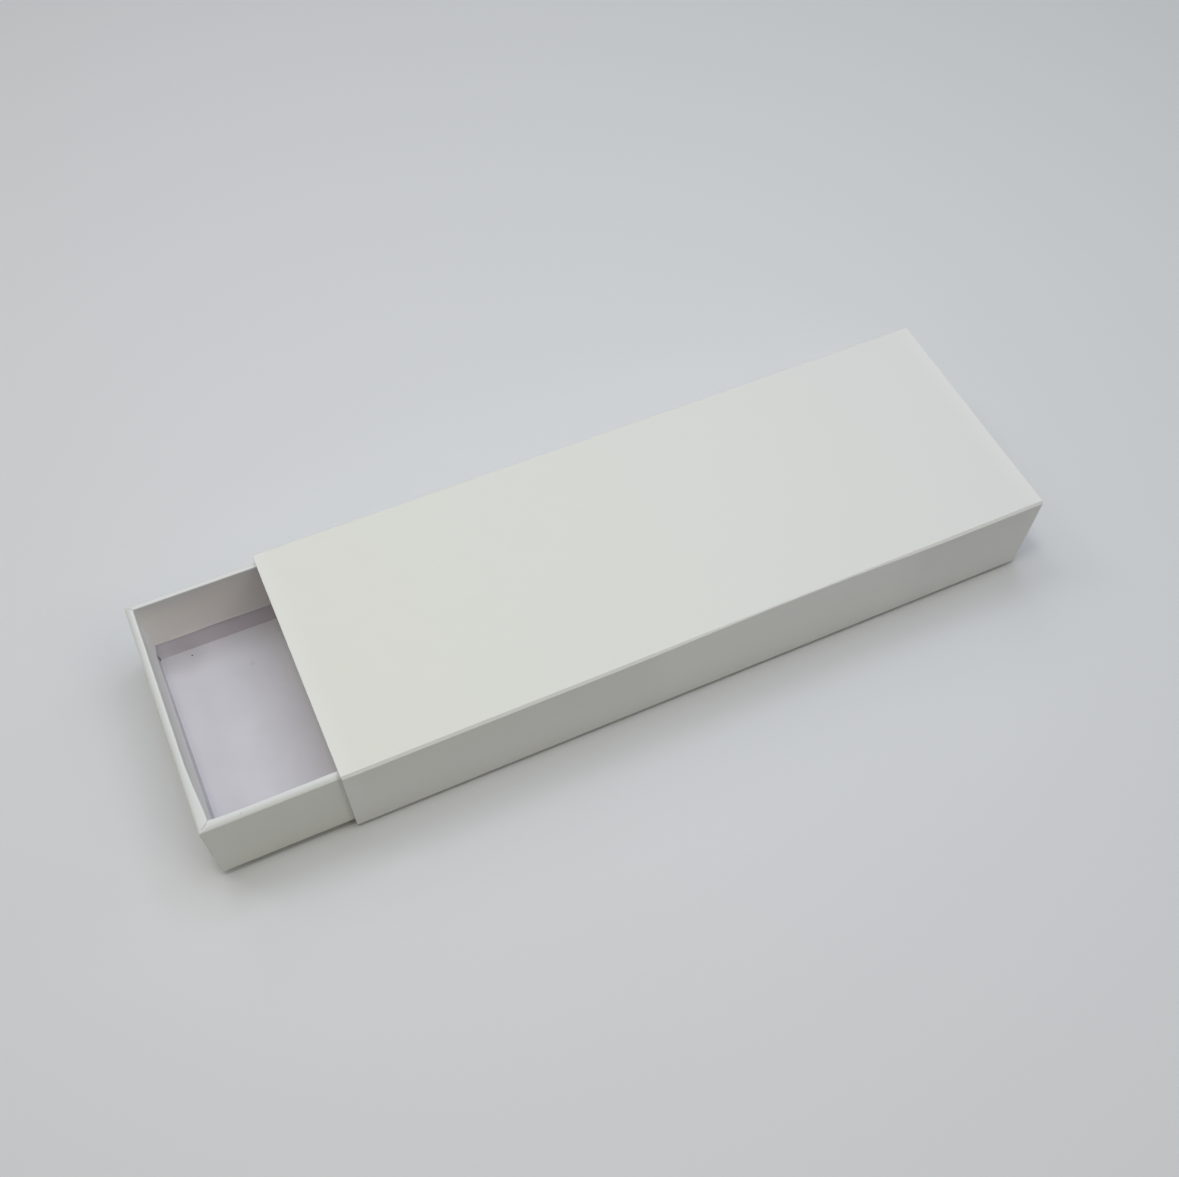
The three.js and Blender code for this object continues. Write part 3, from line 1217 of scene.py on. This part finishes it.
    def wrapping(self) -> BMesh:
        """Make the sheet of paper under the tray, up its walls, over the rim and down inside.

        Returns:
            The closed sheet, with its thickness.
        """
        bm = self.shell()
        home = remember(bm)
        edges = [e for e in bm.edges if e.is_boundary]
        for inset, drop in (*self.rim_out[1:], *self.rim_in):
            edges = carry(bm, edges, self.inset_place(home, inset, self.rim - drop))
        for level in (*self.wall_rings, *(self.foot + up for up in self.foot_rings)):
            edges = carry(bm, edges, self.inset_place(home, self.wall, level))
        close_seams(bm)
        creases = self.mitre_rim(bm)
        self.slit_turn_ins(bm)
        self.shape_by_hand(bm)
        bmesh.ops.solidify(bm, geom=list(bm.faces), thickness=self.wrap)
        for vert, depth in creases:
            vert.co.z -= depth
        mark(bm, "wear", self.wear)
        bm.normal_update()
        # Painted light: the turn-ins inside the tray are marked to be painted lighter and warmer.
        mark(bm, "painted_inside_light", self.painted_inside_light)
        # Painted light: the inner end walls are marked to be painted lighter still.
        mark(bm, "painted_end_light", lambda vert: self.painted_inside_light(vert) * abs(vert.normal.x))
        bmesh.ops.translate(bm, vec=(self.place, 0, 0), verts=bm.verts)
        return bm

    def inset_of(self, vert: BMVert) -> tuple[float, float]:
        """Give how far a point lies in from the tray's nearest end and side."""
        return self.end - abs(vert.co.x), self.side - abs(vert.co.y)

    def mitre_rim(self, bm: BMesh) -> list[tuple[BMVert, float]]:
        """Score the rim along the mitre at each corner, where two folded edges of paper meet.

        Args:
            bm: The sheet.

        Returns:
            The points along the four mitres, each with how far it sinks once the sheet has its thickness.
        """
        for sign_x in (-1, 1):
            for sign_y in (-1, 1):
                across = Vector((sign_x, -sign_y, 0)).normalized()
                corner = Vector((sign_x * self.end, sign_y * self.side, 0))
                for step in (-1, 1):
                    near = [f for f in bm.faces if self.on_mitre(f, sign_x, sign_y)]
                    cut(bm, corner + across * self.mitre_half * step, across, near)
        # The crease attribute marks painted shade, a dark line along each mitre.
        crease = bm.verts.layers.float.new("crease")
        start, full = self.mitre_fade
        creases = []
        for vert in bm.verts:
            from_end, from_side = self.inset_of(vert)
            on_line = vert.co.z > self.spring and abs(from_end - from_side) < TOUCH
            if on_line and start < from_end < self.wall - self.mitre_margin:
                vert[crease] = ramp(from_end, start, full)
                creases.append((vert, self.mitre_depth * vert[crease]))
        return creases

    def on_mitre(self, face: BMFace, sign_x: int, sign_y: int) -> bool:
        """Tell whether a face is part of the rim's round next to one corner's mitre.

        Args:
            face: The face.
            sign_x: The corner's side along the box.
            sign_y: The corner's side across it.

        Returns:
            True if it is.
        """
        if any(v.co.z < self.spring - CLOSE for v in face.verts):
            return False
        here = [v for v in face.verts if v.co.x * sign_x > 0 and v.co.y * sign_y > 0]
        return any(abs(self.inset_of(v)[0] - self.inset_of(v)[1]) < self.mitre_reach for v in here)

    def slit_turn_ins(self, bm: BMesh) -> None:
        """Part the turn-ins at the inside corners, where they were cut before they were pasted.

        Args:
            bm: The sheet.
        """

        def in_corner(vert: BMVert) -> bool:
            """Tell whether a point is on an inside corner below the rim's round."""
            square = all(abs(inset - self.wall) < CLOSE for inset in self.inset_of(vert))
            return square and vert.co.z < self.inner_spring + CLOSE

        corners = [e for e in bm.edges if all(in_corner(v) for v in e.verts)]
        bmesh.ops.split_edges(bm, edges=corners)
        for vert in bm.verts:
            if not in_corner(vert) or vert.co.z > self.inner_spring - CLOSE:
                continue
            share = (self.inner_spring - vert.co.z) / (self.inner_spring - self.foot)
            middle = sum((f.calc_center_median() for f in vert.link_faces), Vector()) / len(vert.link_faces)
            away = middle - vert.co
            if abs(away.x) > abs(away.y):
                vert.co.x += math.copysign(self.slit_foot * share, away.x)
            else:
                vert.co.y += math.copysign(self.slit_foot * share, away.y)
                vert.co.x -= math.copysign(self.corner_bulge * share * share, vert.co.x)

    def shape_by_hand(self, bm: BMesh) -> None:
        """Add what hand work leaves: lifted feet, a wavering cut and a fuller rim at one corner.

        Args:
            bm: The sheet.
        """
        for vert in bm.verts:
            from_end, from_side = self.inset_of(vert)
            up = vert.co.z - self.foot
            if -CLOSE < up < self.cut_height and min(from_end, from_side) > self.wall - self.cut_height / 2:
                lift = self.curl * (1 - ramp(up, 0.0, self.curl_height))
                if from_side < from_end:
                    vert.co.y -= math.copysign(lift, vert.co.y)
                else:
                    vert.co.x -= math.copysign(lift, vert.co.x)
                waver = sum(
                    height * math.sin(vert.co.x * along + vert.co.y * across)
                    for height, along, across in self.cut_waves
                )
                vert.co.z += waver * (1 - ramp(up, 0.0, self.cut_height))
            high = ramp(vert.co.z, *self.flare_levels)
            if vert.co.x < 0:
                vert.co.x += high * self.end_flare.at(from_end, vert.co.y + self.side)
            if vert.co.y < 0:
                vert.co.y += high * self.side_flare.at(from_side, vert.co.x + self.end)

    def wear(self, vert: BMVert) -> float:
        """Give how much a point has been rubbed: most along the rim, and a little at the upright corners.

        Args:
            vert: The point.

        Returns:
            A share from 0 to 1.
        """
        away = max(self.inset_of(vert))
        on_rim = ramp(vert.co.z, self.spring, self.rim - self.rub_margin)
        return max(on_rim, self.rubbed_corner * (1 - ramp(away, self.corner_round, 2 * self.corner_round)))

    def painted_inside_light(self, vert: BMVert) -> float:
        """Give 1 for the turn-ins' paper, which faces into the tray and takes the painted light, and 0
        outside.
        """
        inside = ramp(min(self.inset_of(vert)), *self.painted_inside_light_insets)
        return inside if vert.co.z > self.foot - self.cut_height / 2 else 0.0

    def floor_lining(self) -> BMesh:
        """Make the lining: a floor whose four edges rise in a slack cove and go up behind the turn-ins.

        Returns:
            The closed sheet, with its thickness.
        """
        wall = self.wall - self.wrap
        half_x, half_y = self.end - wall - self.cove_ends, self.side - wall - self.cove_sides
        bm = bmesh.new()
        grid = Matrix.Diagonal((half_x, half_y, 1, 1))
        grid.translation = (0, 0, self.floor)
        along, across = self.floor_steps
        bmesh.ops.create_grid(bm, x_segments=along, y_segments=across, size=1.0, matrix=grid)
        bevel(bm, [v for v in bm.verts if len(v.link_edges) == 2], self.corner_hole, 1, "VERTICES")
        for wall_side in Wall:
            self.raise_flap(bm, wall_side, half_x, half_y)
        for vert in bm.verts:
            if vert.co.x < self.turn_reach - half_x:
                turned = min(max((vert.co.y + half_y) / (2 * half_y), 0.0), 1.0)
                low = 1 - min(max((vert.co.z - self.floor) / (self.foot - self.floor), 0.0), 1.0)
                vert.co.x -= self.cove_turn * turned * low
        bmesh.ops.recalc_face_normals(bm, faces=bm.faces)
        if sum(f.normal.z * f.calc_area() for f in bm.faces) < 0:
            bmesh.ops.reverse_faces(bm, faces=bm.faces)
        bmesh.ops.solidify(bm, geom=list(bm.faces), thickness=self.lining)
        mark(bm, "upstand", self.upstand)
        bmesh.ops.translate(bm, vec=(self.place, 0, 0), verts=bm.verts)
        return bm

    def upstand(self, vert: BMVert) -> float:
        """Tell how far a point is on the lining's upstands at the side walls.

        Args:
            vert: The point.

        Returns:
            1 on an upstand, 0 on the floor and at the ends, and a share between them along the crease.
        """
        from_end, from_side = self.inset_of(vert)
        risen = ramp(vert.co.z, self.floor, self.floor + self.crease_share * self.cove_round)
        return risen if from_side < from_end else 0.0

    def raise_flap(self, bm: BMesh, side: Wall, half_x: float, half_y: float) -> None:
        """Fold up one edge of the lining.

        Args:
            bm: The lining.
            side: The wall that the flap stands against.
            half_x: Half of the floor's length.
            half_y: Half of the floor's width.
        """
        out = side.out
        coves = (self.cove_sides, self.cove_ends)
        halves = (half_y, half_x)
        cove, other = coves if side.is_long else reversed(coves)
        half, along_half = halves if side.is_long else reversed(halves)
        height = self.foot - self.floor
        edges = [e for e in bm.edges if e.is_boundary and all(v.co.dot(out) > half - TOUCH for v in e.verts)]

        def placed(outward: float, up: float) -> Callable[[BMVert], Vector]:
            """Spread the flap's edge outwards, up and towards the corners.

            Args:
                outward: How far the edge lies out from the floor's edge.
                up: How far it lies above the floor.

            Returns:
                A function that gives each point of the edge its place.
            """
            hole = self.corner_hole * (1 - ramp(up, self.hole_start, self.crease_share * height))
            spread = along_half - hole + (other - self.flap_slit) * min(up / height, 1.0) ** self.flap_power

            def place(vert: BMVert) -> Vector:
                """Give one point of the edge its place.

                Args:
                    vert: The point.

                Returns:
                    Its place.
                """
                along = vert.co.x if side.is_long else vert.co.y
                at = max(-1.0, min(1.0, along / (along_half - self.corner_hole))) * spread
                base = Vector((at, 0, 0)) if side.is_long else Vector((0, at, 0))
                return base + out * (half + outward) + Vector((0, 0, self.floor + up))

            return place

        for out_crease, out_cove, up_crease, up_flap in self.cove_shares:
            outward = self.cove_round * out_crease + cove * out_cove
            edges = carry(bm, edges, placed(outward, self.cove_round * up_crease + height * up_flap))
        tucked_out, tucked_up = self.tucked
        carry(bm, edges, placed(cove + tucked_out, height + tucked_up))


# The studio


@dataclass(frozen=True)
class Softbox:
    """A square soft lamp that hangs level and shines straight down. Sizes are in millimetres."""

    name: str
    place: tuple[float, float, float]
    across: float
    power: float
    colour: str = "#ffffff"

    def hang(self) -> None:
        """Hang the lamp."""
        light = bpy.data.lights.new(self.name, "AREA")
        light.shape = "SQUARE"
        light.size = self.across * MM
        light.energy = self.power
        light.color = linear(self.colour)[:3]
        add_object(self.name, light).location = Vector(self.place) * MM


@dataclass(frozen=True)
class Window:
    """A broad far light, such as a window or a pale wall. Its bearing, height and width are in degrees."""

    name: str
    bearing: float
    height: float
    strength: float
    colour: str = "#ffffff"
    width: float = 30.0

    def open(self) -> None:
        """Let the light in."""
        light = bpy.data.lights.new(self.name, "SUN")
        light.angle = math.radians(self.width)
        light.energy = self.strength * math.pi
        light.color = linear(self.colour)[:3]
        bearing, height = math.radians(self.bearing), math.radians(self.height)
        level = math.cos(height)
        toward = Vector((math.cos(bearing) * level, math.sin(bearing) * level, math.sin(height)))
        add_object(self.name, light).rotation_euler = (-toward).to_track_quat("-Z", "Y").to_euler()


@dataclass
class Studio:
    """A pale table top under soft lamps and an even sky, with a little light from the sides.

    The table lies a little under the box, so that the shadow along its foot is as wide as the one that a
    slightly bowed real base leaves.
    """

    table_top: Material
    table_half: float = 3000.0
    table_drop: float = 1.3
    sky_strength: float = 0.097
    sky_colour: str = "#fff7e8"
    softboxes: tuple[Softbox, ...] = (
        Softbox("main_softbox", (100.0, 60.0, 640.0), 480.0, 1.72, "#e7f1ff"),
        Softbox("front_left_lamp", (-140.0, -60.0, 640.0), 120.0, 0.611, "#fff7e3"),
        Softbox("far_left_lamp", (-380.0, 300.0, 640.0), 120.0, 0.27),
        Softbox("back_left_lamp", (-140.0, 180.0, 640.0), 120.0, 0.267),
    )
    windows: tuple[Window, ...] = (
        Window("front_right_window", 315.0, 45.0, 0.099, "#fff8e5"),
        Window("back_left_window", 135.0, 45.0, 0.0755),
        Window("back_window", 90.0, 45.0, 0.0705),
        Window("right_window", 0.0, 32.0, 0.05),
    )

    def build(self) -> None:
        """Make the table top, the lamps and the sky."""
        bm = bmesh.new()
        bmesh.ops.create_grid(bm, x_segments=1, y_segments=1, size=self.table_half * MM)
        bmesh.ops.translate(bm, vec=(0, 0, -self.table_drop * MM), verts=bm.verts)
        mesh = bpy.data.meshes.new("table_top")
        bm.to_mesh(mesh)
        bm.free()
        mesh.materials.append(self.table_top)
        table = add_object("table_top", mesh)
        for softbox in self.softboxes:
            softbox.hang()
        for window in self.windows:
            window.open()
        self.sky()
        LOG.info("studio: table top, %d softboxes, %d windows", len(self.softboxes), len(self.windows))

    def sky(self) -> None:
        """Light the box evenly from all round, and show a plain pale backdrop behind the table top."""
        world = bpy.data.worlds.new("even_sky")
        world.use_nodes = True
        tree = world.node_tree
        tree.nodes.clear()
        seen = add_node(tree, "LightPath").outputs["Is Camera Ray"]
        light = {"Color": linear(self.sky_colour), "Strength": self.sky_strength}
        even = add_node(tree, "Background", {}, light).outputs[0]
        shown = add_node(tree, "Background", {}, {"Color": linear(BACKDROP)}).outputs[0]
        mixed = add_node(tree, "MixShader", {}, {0: seen, 1: even, 2: shown}).outputs[0]
        add_node(tree, "OutputWorld", {}, {"Surface": mixed})
        bpy.context.scene.world = world


@dataclass
class Camera:
    """The photograph's viewpoint: above the box's left front, looking down along it to the right."""

    place: tuple[float, float, float] = (-103.34, -175.46, 305.07)
    looking: tuple[float, float, float] = (0.21942, 0.45187, -0.86468)
    roll: float = 1.428
    sensor: float = 36.0
    lens: float = 39.26
    shift_x: float = -0.00036
    shift_y: float = 0.06214
    nearest: float = 10.0
    farthest: float = 20000.0

    def build(self) -> None:
        """Make the camera and set it as the scene's."""
        data = bpy.data.cameras.new("photograph_view")
        data.sensor_width = self.sensor
        data.lens = self.lens
        data.shift_x = self.shift_x
        data.shift_y = self.shift_y
        data.clip_start = self.nearest * MM
        data.clip_end = self.farthest * MM
        camera = add_object("photograph_view", data)
        forward = Vector(self.looking).normalized()
        right = forward.cross(Vector((0, 0, 1))).normalized()
        up = right.cross(forward)
        upright = Matrix((right, up, -forward)).transposed().to_4x4()
        turned = upright @ Matrix.Rotation(math.radians(self.roll), 4, "Z")
        camera.matrix_world = Matrix.Translation(Vector(self.place) * MM) @ turned
        bpy.context.scene.camera = camera
        LOG.info("camera: %.1f mm lens at %s mm", self.lens, self.place)


def main() -> None:
    """Build the camera, the studio, the sleeve and the tray, in that order."""
    logging.basicConfig(level=logging.INFO, format="%(name)s: %(message)s")
    bpy.context.scene.view_settings.view_transform = "Standard"
    Camera().build()
    Studio(table_top=MattTableTop().make()).build()
    greyboard = RecycledGreyboard().make()
    speck = Mark((-124.2, 28.5, 3.05), across=0.55, depth=1.0)
    smudge = Mark((-110.0, 19.5, 3.05), across=1.6, depth=0.10)
    # Painted shade: a faint dark patch in the floor's back left corner, where shade gathers by the walls.
    painted_corner_shade = Mark((-126.5, 28.5, 3.05), across=13.0, depth=0.11)
    lining = LavenderLiningPaper(marks=(speck, smudge, painted_corner_shade)).make()
    sleeve_wrap = UncoatedWrapPaper("uncoated_wrap_paper_sleeve").make()
    Sleeve(wrap_paper=sleeve_wrap, lining_paper=lining, greyboard=greyboard).build()
    rim_fleck = Mark((-124.1, -33.3, 26.0), across=0.35, depth=0.5)
    tray_paper = UncoatedWrapPaper("uncoated_wrap_paper_tray", rubbed_colour="#e8eaea", marks=(rim_fleck,))
    tray_wrap = tray_paper.make()
    tape = GummedKraftTape().make()
    Tray(wrap_paper=tray_wrap, lining_paper=lining, greyboard=greyboard, tape=tape).build()


if __name__ == "__main__":
    main()
